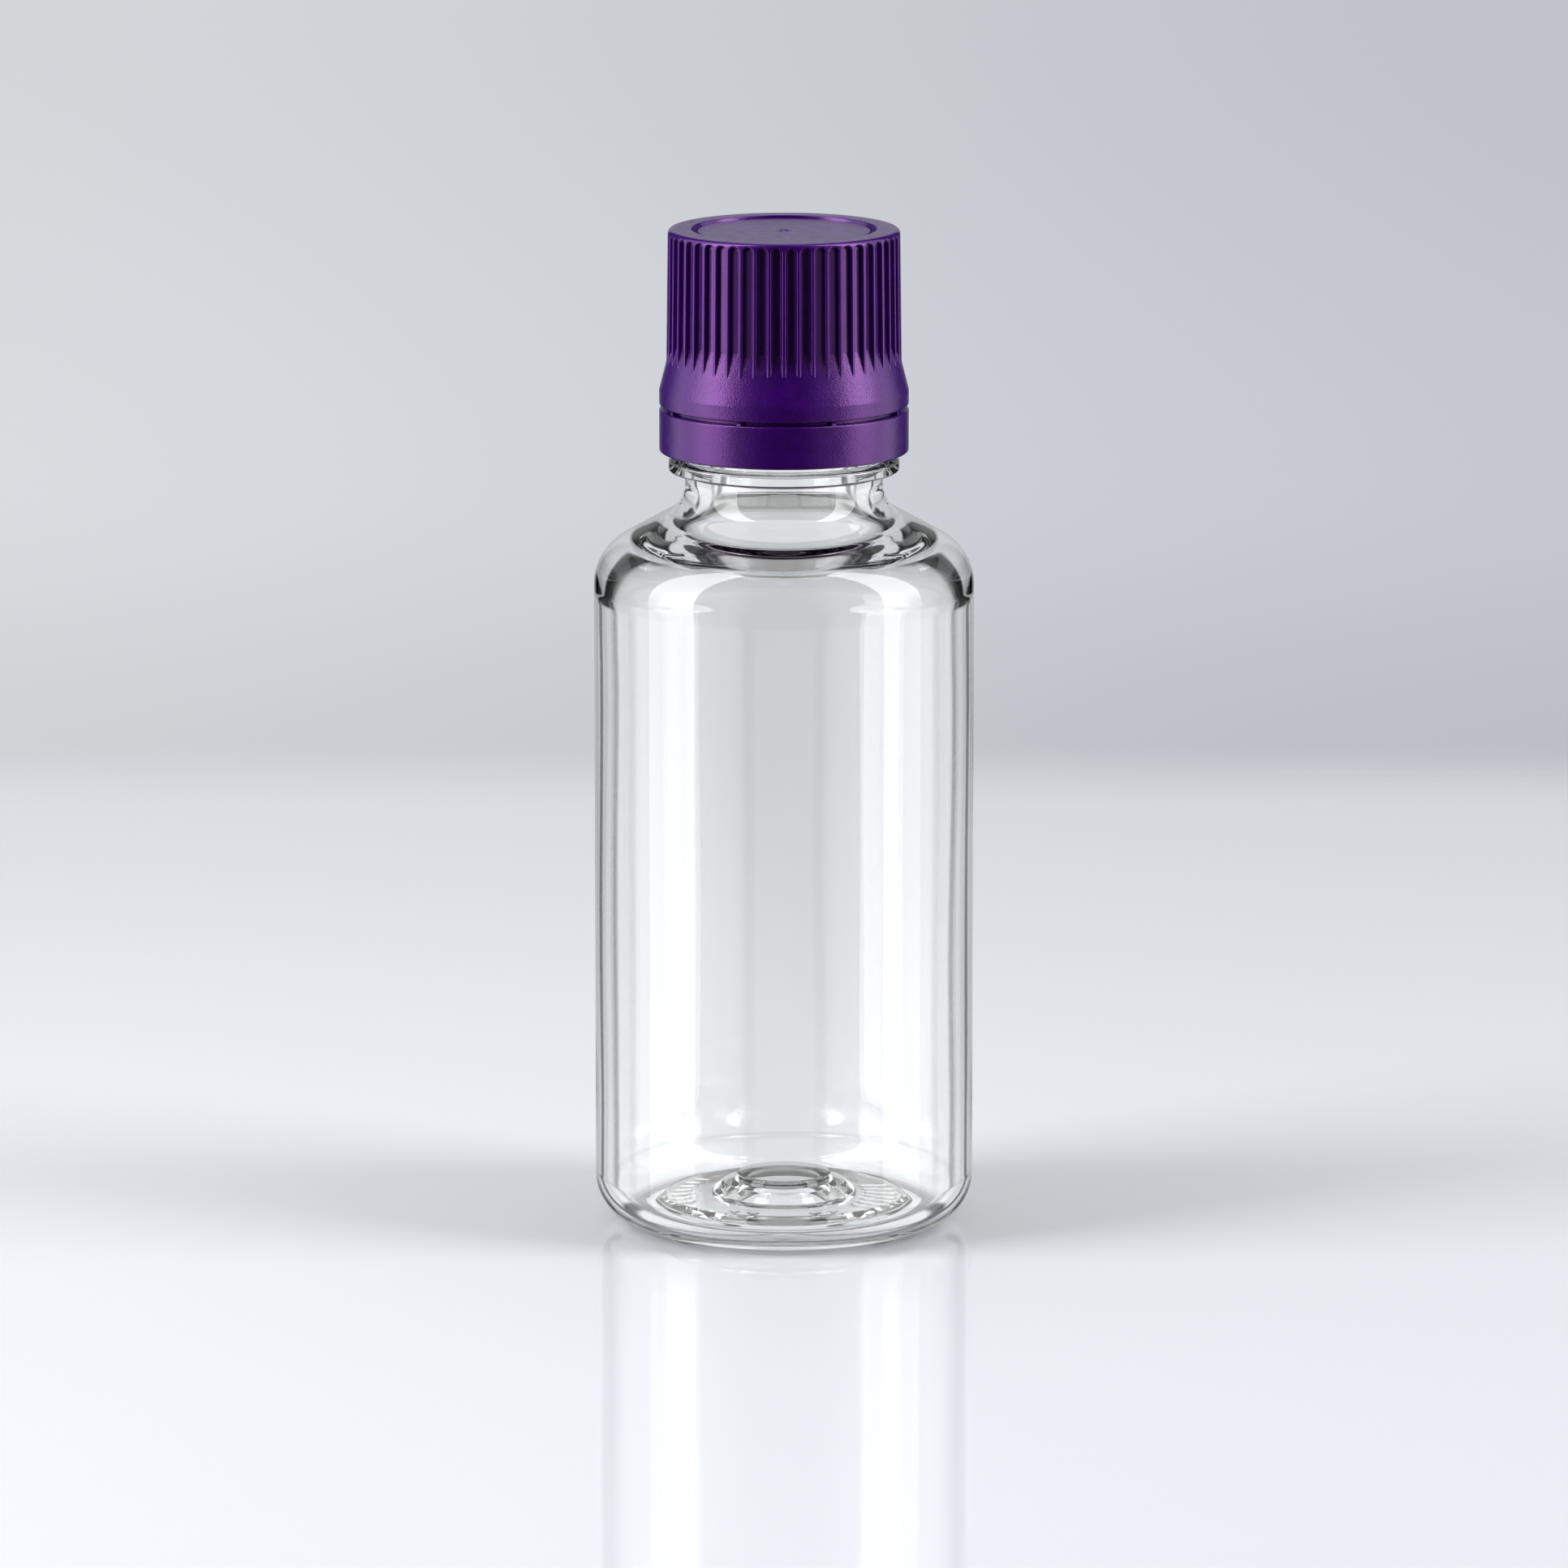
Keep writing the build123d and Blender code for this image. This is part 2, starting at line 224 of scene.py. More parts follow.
def turned_mesh(name: str, outline: Outline, turns: Array, relief: Relief | None = None) -> Mesh:
    """Turns a section about Z into one closed skin.

    Args:
        name: Name of the mesh.
        outline: Section to turn. An open one starts and ends on the axis.
        turns: Angles of the columns.
        relief: Moves the points away from the plain turned form.

    Returns:
        The mesh in metres, smooth shaded, with its faces outwards.
    """
    section = outline.sampled()
    poles = [] if outline.closed else [section[0], section[-1]]
    inner = section if outline.closed else section[1:-1]
    radius, turn = np.meshgrid(inner[:, 0], turns, indexing="ij")
    height = np.repeat(inner[:, 1:], len(turns), axis=1)
    if relief is not None:
        radius, height = relief(radius, height, turn)
    points = np.stack([radius * np.cos(turn), radius * np.sin(turn), height], axis=-1).reshape(-1, 3)
    grid = np.arange(len(points)).reshape(radius.shape)
    loop = np.vstack([grid, grid[:1]]) if outline.closed else grid
    here, below = loop[:-1], loop[1:]
    quads = np.stack([here, np.roll(here, -1, 1), np.roll(below, -1, 1), below], axis=-1).reshape(-1, 4)
    fans = np.empty((0, 3), int)
    if poles:
        first, last = grid[0], grid[-1]
        top, bottom = np.full_like(first, len(points)), np.full_like(last, len(points) + 1)
        fans = np.vstack([
            np.stack([top, np.roll(first, -1), first], axis=-1),
            np.stack([last, np.roll(last, -1), bottom], axis=-1),
        ])
        points = np.vstack([points, [[0, 0, poles[0][1]], [0, 0, poles[1][1]]]])
    triangles = np.vstack([quads[:, :3], quads[:, [0, 2, 3]], fans])
    if signed_volume(points, triangles) < 0:
        quads, fans = quads[:, ::-1], fans[:, ::-1]
    mesh = bpy.data.meshes.new(name)
    mesh.from_pydata((points * MM).tolist(), [], quads.tolist() + fans.tolist())
    mesh.polygons.foreach_set("use_smooth", np.ones(len(mesh.polygons), bool))
    mesh.update()
    return mesh


def mark_points(mesh: Mesh, name: str, values: Array) -> None:
    """Stores one number for each point of a mesh, for a finish to read."""
    attribute = mesh.attributes.new(name, "FLOAT", "POINT")
    attribute.data.foreach_set("value", values.astype(np.float32))


def mesh_points(mesh: Mesh) -> Array:
    """Reads the points of a mesh.

    Args:
        mesh: Mesh in metres.

    Returns:
        Its points in millimetres, one row each.
    """
    flat = np.zeros(len(mesh.vertices) * 3, np.float32)
    mesh.vertices.foreach_get("co", flat)
    return flat.reshape(-1, 3) / MM


def flat_mesh(name: str, rim: list[tuple[float, float, float]]) -> Mesh:
    """Makes one flat face.

    Args:
        name: Name of the mesh.
        rim: Its corners in metres.

    Returns:
        The mesh.
    """
    mesh = bpy.data.meshes.new(name)
    mesh.from_pydata(rim, [], [tuple(range(len(rim)))])
    return mesh


def add_object(mesh: Mesh, material: Material) -> bpy.types.Object:
    """Puts a mesh into the scene, under its own name.

    Args:
        mesh: The mesh.
        material: Its only material.

    Returns:
        The object.
    """
    mesh.materials.append(material)
    made = bpy.data.objects.new(mesh.name, mesh)
    bpy.context.scene.collection.objects.link(made)
    return made


def seat(mesh: Mesh, material: Material, body: Body, node: str) -> None:
    """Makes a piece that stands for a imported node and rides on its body.

    Args:
        mesh: Its mesh, in place and with the name of the piece.
        material: Its finish.
        body: Body that carries it.
        node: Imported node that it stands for.
    """
    piece = add_object(mesh, material)
    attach(piece, body.value)
    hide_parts(node)
    LOG.info("%s: %d faces, rides on %s", piece.name, len(mesh.polygons), body.value)


@dataclass(frozen=True)
class Ramp:
    """Smooth step from start at low to end at high."""

    low: float
    high: float
    start: float = 0.0
    end: float = 1.0


@dataclass(frozen=True)
class Noise:
    """Noise over a piece: features to the metre, finer layers and a scale along each axis."""

    scale: float
    detail: float = 2.0
    stretch: tuple[float, float, float] = (1, 1, 1)


NOISE_RANGE = Ramp(0.3, 0.7)


class Graph:
    """Lays shader nodes into one tree."""

    def __init__(self, tree: bpy.types.NodeTree) -> None:
        """Empties the tree."""
        self.tree = tree
        tree.nodes.clear()

    def feed(self, socket: Socket, value: object) -> None:
        """Links a socket, or sets its own value.

        Args:
            socket: Input socket.
            value: Output socket to link, or a number, a vector or a colour.
        """
        if isinstance(value, Socket):
            self.tree.links.new(value, socket)
        elif isinstance(value, tuple) and len(value) == 3 and socket.type == "RGBA":
            socket.default_value = (*value, 1.0)
        else:
            socket.default_value = value

    def add(self, kind: str, *ordered: object, **named: object) -> Node:
        """Adds a node.

        Args:
            kind: Its type, without the leading ShaderNode.
            ordered: Values or sockets for its first inputs.
            named: Properties in lower case, and inputs with a capital and _ for a space.

        Returns:
            The node.
        """
        node = self.tree.nodes.new("ShaderNode" + kind)
        for key, value in named.items():
            if key.islower():
                setattr(node, key, value)
            else:
                self.feed(node.inputs[key.replace("_", " ")], value)
        for socket, value in zip(node.inputs, ordered):
            self.feed(socket, value)
        return node

    def math(self, operation: str, *values: object) -> Socket:
        """Result of a Math node."""
        return self.add("Math", *values, operation=operation).outputs[0]

    def times(self, first: object, second: object) -> Socket:
        """Product of two numbers."""
        return self.math("MULTIPLY", first, second)

    def larger(self, first: object, second: object) -> Socket:
        """Larger of two numbers."""
        return self.math("MAXIMUM", first, second)

    def rest(self, share: object) -> Socket:
        """What a share leaves of 1."""
        return self.math("SUBTRACT", 1.0, share)

    def along(self, ramp: Ramp, value: object) -> Socket:
        """Number mapped along a ramp."""
        ends = (ramp.low, ramp.high, ramp.start, ramp.end)
        return self.add("MapRange", value, *ends, interpolation_type="SMOOTHSTEP").outputs["Result"]

    def blend(self, share: object, first: object, second: object) -> Socket:
        """Mixes two colours.

        Args:
            share: Share of the second.
            first: First colour.
            second: Second colour.

        Returns:
            The mixed colour.
        """
        node = self.add("Mix", data_type="RGBA")
        enabled = [socket for socket in node.inputs if socket.enabled]
        for socket, value in zip(enabled, (share, first, second)):
            self.feed(socket, value)
        return next(socket for socket in node.outputs if socket.enabled)

    def place(self) -> Socket:
        """Place on the piece, in metres."""
        return self.add("TexCoord").outputs["Object"]

    def noise(self, kind: Noise) -> Socket:
        """Noise over the piece, mostly within NOISE_RANGE."""
        place = self.add("Mapping", Vector=self.place(), Scale=kind.stretch).outputs[0]
        return self.add("TexNoise", Vector=place, Scale=kind.scale, Detail=kind.detail).outputs[0]

    def levels(self, bearing: object, stops: Levels) -> Socket:
        """Sets a light level by bearing.

        Args:
            bearing: Angle from straight behind the bottle, 0 to half a turn.
            stops: Bearings in degrees, in order, each with its level from 0 to 1.

        Returns:
            The level.
        """
        curve = self.add("FloatCurve", Value=self.math("DIVIDE", bearing, math.pi))
        points = curve.mapping.curves[0].points
        while len(points) < len(stops):
            points.new(0.5, 0.5)
        for point, (degrees, level) in zip(points, stops):
            point.location = (degrees / 180, level)
            point.handle_type = "VECTOR"
        curve.mapping.update()
        return curve.outputs[0]

    def looking_through(self) -> Socket:
        """Tells rays apart that pass through clear plastic.

        Returns:
            1 for a ray that came straight through, and 0 for one that was reflected deep inside or comes
            from elsewhere.
        """
        ray = self.add("LightPath")
        reflected = self.math("GREATER_THAN", ray.outputs["Glossy Depth"], REFLECTED_DEPTH)
        deep = self.math("GREATER_THAN", ray.outputs["Transmission Depth"], DEEP_INSIDE_DEPTH)
        return self.times(ray.outputs["Is Transmission Ray"], self.rest(self.times(reflected, deep)))

    def mixed(self, share: object, first: Node, second: Node) -> Node:
        """Two shaders mixed by the share of the second."""
        return self.add("MixShader", share, first.outputs[0], second.outputs[0])

    def bump(self, height: object, strength: object, distance: float, **under: Socket) -> Socket:
        """Normal bumped by a height from 0 to 1, over another one that is given as Normal."""
        return self.add("Bump", Height=height, Strength=strength, Distance=distance, **under).outputs[0]

    def show(self, shader: Node, output: str = "OutputMaterial") -> None:
        """Links a shader to the output of the tree."""
        self.add(output, Surface=shader.outputs[0])


def new_material(name: str) -> tuple[Material, Graph]:
    """Makes an empty material.

    Args:
        name: Its name.

    Returns:
        The material and the graph of its nodes.
    """
    material = bpy.data.materials.new(name)
    material.use_nodes = True
    return material, Graph(material.node_tree)


@dataclass(frozen=True)
class ClearPlastic:
    """Blown clear polyester: colourless and glossy, with faint flow waves from the blowing."""

    tint: Colour = (0.99, 0.994, 0.994)
    refraction: float = 1.575
    waves: Noise = Noise(90.0, 1.0, (1, 1, 0.25))
    wave_height: float = 0.000002
    ripples: Noise = Noise(1400.0)
    ripple_height: float = 0.0000006
    smears: Noise = Noise(220.0, 4.0, (1, 1, 0.3))
    haze: Ramp = Ramp(0.45, 0.8, 0.0, 0.012)

    def material(self) -> Material:
        """Builds the finish.

        Returns:
            The material.
        """
        material, graph = new_material("clear_plastic")
        waves = graph.bump(graph.noise(self.waves), 1.0, self.wave_height)
        graph.show(graph.add(
            "BsdfPrincipled",
            Base_Color=self.tint,
            Transmission_Weight=1.0,
            IOR=self.refraction,
            Roughness=graph.along(self.haze, graph.noise(self.smears)),
            Normal=graph.bump(graph.noise(self.ripples), 1.0, self.ripple_height, Normal=waves),
        ))
        return material


@dataclass(frozen=True)
class PurplePlastic:
    """Deep purple moulded plastic: polished ribs, and a fine spark-eroded grain where the mould was satin."""

    deep: Colour = (0.021, 0.0002, 0.08)
    light: Colour = (0.031, 0.0003, 0.11)
    mottle: Noise = Noise(500.0, 4.0)
    sheen: Colour = (0.8, 0.34, 1.0)
    shine: float = 0.8
    rough: Ramp = Ramp(0.0, 1.0, 0.14, 0.22)
    rubs: Noise = Noise(900.0, 5.0)
    rubbed: Ramp = Ramp(0.3, 0.75, -0.03, 0.06)
    grain: Noise = Noise(6500.0, 3.0)
    grain_share: Ramp = Ramp(0.0, 1.0, 0.06, 1.0)
    grain_height: float = 0.00003

    def material(self) -> Material:
        """Builds the finish. Points carry their share of satin in the attribute named satin.

        Returns:
            The material.
        """
        material, graph = new_material("purple_plastic")
        satin = graph.add("Attribute", attribute_name="satin").outputs["Fac"]
        mottle = graph.along(NOISE_RANGE, graph.noise(self.mottle))
        rubbed = graph.along(self.rubbed, graph.noise(self.rubs))
        share = graph.along(self.grain_share, satin)
        graph.show(graph.add(
            "BsdfPrincipled",
            Base_Color=graph.blend(mottle, self.deep, self.light),
            Roughness=graph.math("ADD", graph.along(self.rough, satin), rubbed),
            Specular_IOR_Level=self.shine,
            Specular_Tint=self.sheen,
            Normal=graph.bump(graph.noise(self.grain), share, self.grain_height),
        ))
        return material


@dataclass(frozen=True)
class NaturalPlastic:
    """Unpigmented soft polyethylene: milky, satin, a little light passing through."""

    tone: Colour = (0.80, 0.81, 0.79)
    thin: Colour = (0.88, 0.885, 0.87)
    clouds: Noise = Noise(260.0, 3.0)
    patches: Noise = Noise(1500.0, 4.0)
    rough: Ramp = Ramp(0.3, 0.7, 0.32, 0.44)
    glow: float = 0.35
    glow_reach: tuple[float, float, float] = (0.0012, 0.0012, 0.0011)
    grain: Noise = Noise(3000.0)
    grain_share: float = 0.25
    grain_height: float = 0.00002

    def material(self) -> Material:
        """Builds the finish.

        Returns:
            The material.
        """
        material, graph = new_material("natural_plastic")
        clouds = graph.along(NOISE_RANGE, graph.noise(self.clouds))
        graph.show(graph.add(
            "BsdfPrincipled",
            Base_Color=graph.blend(clouds, self.tone, self.thin),
            Roughness=graph.along(self.rough, graph.noise(self.patches)),
            Subsurface_Weight=self.glow,
            Subsurface_Radius=self.glow_reach,
            Normal=graph.bump(graph.noise(self.grain), self.grain_share, self.grain_height),
        ))
        return material


@dataclass(frozen=True)
class WhiteFoam:
    """Foamed polyethylene with fine cells under a thin skin."""

    skin: Colour = (0.84, 0.84, 0.82)
    cell: Colour = (0.74, 0.74, 0.72)
    cell_scale: float = 2600.0
    cell_share: float = 0.7
    cell_height: float = 0.00006
    patches: Noise = Noise(1200.0, 3.0)
    rough: Ramp = Ramp(0.3, 0.7, 0.55, 0.75)

    def material(self) -> Material:
        """Builds the finish.

        Returns:
            The material.
        """
        material, graph = new_material("white_foam")
        walls = graph.add("TexVoronoi", Vector=graph.place(), Scale=self.cell_scale).outputs["Distance"]
        graph.show(graph.add(
            "BsdfPrincipled",
            Base_Color=graph.blend(walls, self.cell, self.skin),
            Roughness=graph.along(self.rough, graph.noise(self.patches)),
            Normal=graph.bump(walls, self.cell_share, self.cell_height),
        ))
        return material


@dataclass(frozen=True)
class Thread:
    """Right-hand helical ridge that fades out at both ends."""

    start: float
    lead: float = 3.0
    turns: float = 1.6
    base: float = 1.9
    crest: float = 0.6
    depth: float = 1.0
    fade: float = math.radians(28)

    def ridge(self, height: Array, turn: Array) -> Array:
        """Height of the ridge over its root.

        Args:
            height: Heights of the points.
            turn: Angles of the points.

        Returns:
            What the ridge adds at each point.
        """
        length = self.turns * FULL_TURN
        best = np.zeros_like(height)
        for wrap in range(math.ceil(self.turns) + 1):
            wound = turn % FULL_TURN + wrap * FULL_TURN
            away = np.abs(height - self.start - self.lead * wound / FULL_TURN)
            flank = 1 - ramp_up(away, self.crest / 2, self.base / 2)
            ends = ramp_up(wound, 0, self.fade) * (1 - ramp_up(wound, length - self.fade, length))
            best = np.maximum(best, flank * ends)
        return best * self.depth


@dataclass(frozen=True)
class Bottle:
    """Clear bottle blown in one piece: hollow base with a nub, body, shoulder and threaded neck.

    Each of its waves is a share, a count round the body, a phase and the height that turns it by a radian.
    Dots are bearings in degrees.
    """

    reach: Extent
    wall: float = 1.5
    wall_top: float = 59.5
    shoulder_round: float = 5.0
    shoulder_slope: float = 29.1
    heel_round: float = 4.3
    foot_width: float = 1.2
    foot_step: float = 0.9
    panel_rise: float = 0.3
    floor_wall: float = 1.5
    nub_foot_r: float = 6.6
    nub_step_r: float = 5.6
    nub_step_height: float = 0.9
    nub_top_r: float = 4.3
    nub_height: float = 1.65
    nub_collar: float = 0.3
    nub_wall: float = 1.0
    nub_roof: float = 2.0
    neck_r: float = 9.05
    neck_fillet: float = 2.8
    bore_r: float = 6.65
    root_in_z: float = 64.4
    root_in_round: float = 5.5
    wall_in_z: float = 61.4
    wall_in_round: float = 4.5
    plain_neck: float = 3.05
    ring_r: float = 10.55
    ring_thick: float = 1.0
    ring_taper: float = 0.25
    root_r: float = 8.05
    lip_round: float = 0.4
    catch_r: float = 9.85
    catch_z: float = 74.83
    catch_land: float = 0.4
    edge_round: float = 0.2
    thread_z: float = 80.4
    thread_below: float = 1.2
    thread_above: float = 6.0
    fine_step: float = 0.12
    mark_height: float = 0.25
    mark_in: float = 7.4
    mark_out: float = 10.3
    mark_width: float = 0.5
    mark_edge: float = 0.16
    fan_reach: int = 3
    fan_pitch: float = 9.0
    fan_skew: float = -8.0
    short_bar: float = 1.2
    dots: tuple[int, ...] = (-60, -72, -108, -120, 60, 90, 120)
    wave_height: float = 0.012
    waves: tuple[tuple[float, float, float, float], ...] = ((1.0, 3, 0.8, 9.0), (0.6, 5, 2.0, -6.0))
    wave_start: Span = (6.0, 14.0)
    wave_end: Span = (50.0, 58.0)
    columns: int = 384

    @property
    def inner_r(self) -> float:
        """Radius of the body's inside."""
        return self.reach.radius - self.wall

    @property
    def panel_z(self) -> float:
        """Height of the underside's panel."""
        return self.foot_step + self.panel_rise

    def base(self, lift: float) -> list[Corner]:
        """Lists the corners of the base from the nub's foot outwards.

        Args:
            lift: Height to raise them by.

        Returns:
            The corners.
        """
        foot_in = self.reach.radius - self.heel_round - self.foot_width
        soft = self.foot_step / 3
        return [
            Corner(self.nub_foot_r, self.panel_z + lift, soft, self.fine_step),
            Corner(foot_in - self.foot_step, self.foot_step + lift, soft),
            Corner(foot_in, lift, soft),
        ]

    def outside(self) -> list[Corner]:
        """Lists the corners of the outside, from the middle of the underside up to the lip.

        Returns:
            The corners.
        """
        body_r, lip_z = self.reach.radius, self.reach.high
        slope = math.tan(math.radians(self.shoulder_slope))
        half_slope = math.tan(math.radians((90 - self.shoulder_slope) / 2))
        shoulder_z = self.wall_top + self.shoulder_round * half_slope
        neck_z = shoulder_z + (body_r - self.neck_r) * slope
        ring_z = neck_z + self.plain_neck
        ring_top = ring_z + self.ring_thick
        hollow_z = self.panel_z + self.floor_wall + self.nub_height - self.nub_roof
        catch_top = self.catch_z + self.catch_land + self.catch_r - self.root_r
        soft = self.edge_round
        return [
            Corner(0, hollow_z),
            Corner(self.nub_top_r - self.nub_wall, hollow_z, soft),
            Corner(self.nub_step_r - self.nub_wall, self.panel_z, soft),
            *self.base(0),
            Corner(body_r, 0, self.heel_round),
            Corner(body_r, shoulder_z, self.shoulder_round),
            Corner(self.neck_r, neck_z, self.neck_fillet),
            Corner(self.neck_r, ring_z - self.ring_taper, soft),
            Corner(self.ring_r, ring_z, soft),
            Corner(self.ring_r, ring_top, soft),
            Corner(self.neck_r, ring_top, soft),
            Corner(self.neck_r, self.catch_z, soft / 2),
            Corner(self.catch_r, self.catch_z, soft / 2),
            Corner(self.catch_r, self.catch_z + self.catch_land, soft / 2),
            Corner(self.root_r, catch_top, soft),
            Corner(self.root_r, self.thread_z - self.thread_below, step=self.fine_step),
            Corner(self.root_r, self.thread_z + self.thread_above),
            Corner(self.root_r, lip_z, self.lip_round),
        ]

    def inside(self) -> list[Corner]:
        """Lists the corners of the inside, from the lip down to the top of the nub.

        Returns:
            The corners.
        """
        floor_z = self.panel_z + self.floor_wall
        step_z = floor_z + self.nub_step_height
        top_z = floor_z + self.nub_height
        soft = self.edge_round
        return [
            Corner(self.bore_r, self.reach.high, soft / 2),
            Corner(self.bore_r, self.root_in_z, self.root_in_round),
            Corner(self.inner_r, self.wall_in_z, self.wall_in_round),
            Corner(self.inner_r, self.floor_wall, self.heel_round - self.wall),
            *reversed(self.base(self.floor_wall)),
            Corner(self.nub_step_r, step_z, soft),
            Corner(self.nub_top_r + self.nub_collar, step_z + self.nub_collar / 2, soft / 2),
            Corner(self.nub_top_r, top_z, soft),
            Corner(0, top_z),
        ]

    def marks(self, radius: Array, turn: Array) -> Array:
        """Share of raised mark at points of the panel: fans of plain bars at the sides and dots in front.

        Args:
            radius: Radii of the points.
            turn: Angles of the points.

        Returns:
            0 on the bare panel and 1 on top of a mark.
        """
        share = np.zeros_like(radius)
        long_ring = ramp_up(radius, self.mark_in, self.mark_in + self.mark_edge)
        long_ring *= 1 - ramp_up(radius, self.mark_out - self.mark_edge, self.mark_out)
        short_in = self.mark_in + self.short_bar
        short_ring = long_ring * ramp_up(radius, short_in, short_in + self.mark_edge)
        for side, ring in ((0.0, long_ring), (180.0, short_ring)):
            for step in range(-self.fan_reach, self.fan_reach + 1):
                bearing = math.radians(side + self.fan_skew + self.fan_pitch * step)
                across = np.abs(angle_from(turn, bearing)) * radius
                bar = 1 - ramp_up(across, self.mark_width / 2, self.mark_width / 2 + self.mark_edge)
                share = np.maximum(share, bar * ring)
        for degrees in self.dots:
            across = angle_from(turn, math.radians(degrees)) * radius
            away = np.hypot(across, radius - (self.mark_in + self.mark_out) / 2)
            share = np.maximum(share, 1 - ramp_up(away, self.mark_width / 2, self.mark_width))
        return share

    def relief(self, radius: Array, height: Array, turn: Array) -> Moved:
        """Adds the neck's thread, the marks under the base and the faint waves of the blown inside.

        Args:
            radius: Radii of the points.
            height: Their heights.
            turn: Their angles.

        Returns:
            The moved radii and heights.
        """
        thread = Thread(self.thread_z)
        on_root = np.abs(radius - self.root_r) < TOUCHING
        blown = (np.abs(radius - self.inner_r) < TOUCHING) * ramp_up(height, *self.wave_start)
        blown = blown * (1 - ramp_up(height, *self.wave_end))
        waves = sum(share * np.cos(count * turn + phase + height / climb)
                    for share, count, phase, climb in self.waves)
        shaped = radius + on_root * thread.ridge(height, turn) + blown * self.wave_height * waves
        under = (height < self.panel_z + TOUCHING) & (radius > self.nub_foot_r) & (radius < self.mark_out)
        return shaped, height - under * self.mark_height * self.marks(radius, turn)

    def build(self, finish: ClearPlastic) -> None:
        """Makes the bottle.

        Args:
            finish: Its finish.
        """
        outline = Outline((*self.outside(), *self.inside()))
        mesh = turned_mesh("clear_bottle", outline, even_turns(self.columns), self.relief)
        seat(mesh, finish.material(), Body.BOTTLE, "bottle")


@dataclass(frozen=True)
class DropperInsert:
    """Dropper insert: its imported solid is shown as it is."""

    node: str = "dropper_insert"

    def build(self, finish: NaturalPlastic) -> None:
        """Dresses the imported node.

        Args:
            finish: Its finish.
        """
        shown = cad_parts[self.node]
        shown.data.materials.clear()
        shown.data.materials.append(finish.material())
        LOG.info("%s: packed node, %d faces", self.node, len(shown.data.polygons))


@dataclass(frozen=True)
class SealingWad:
    """Foamed disc in the crown of the cap."""

    reach: Extent
    edge_round: float = 0.12
    columns: int = 256

    def build(self, finish: WhiteFoam) -> None:
        """Makes the wad.

        Args:
            finish: Its finish.
        """
        outline = Outline((
            Corner(0, self.reach.high),
            Corner(self.reach.radius, self.reach.high, self.edge_round),
            Corner(self.reach.radius, self.reach.low, self.edge_round),
            Corner(0, self.reach.low),
        ))
        mesh = turned_mesh("foam_wad", outline, even_turns(self.columns))
        seat(mesh, finish.material(), Body.WAD, "sealing_wad")


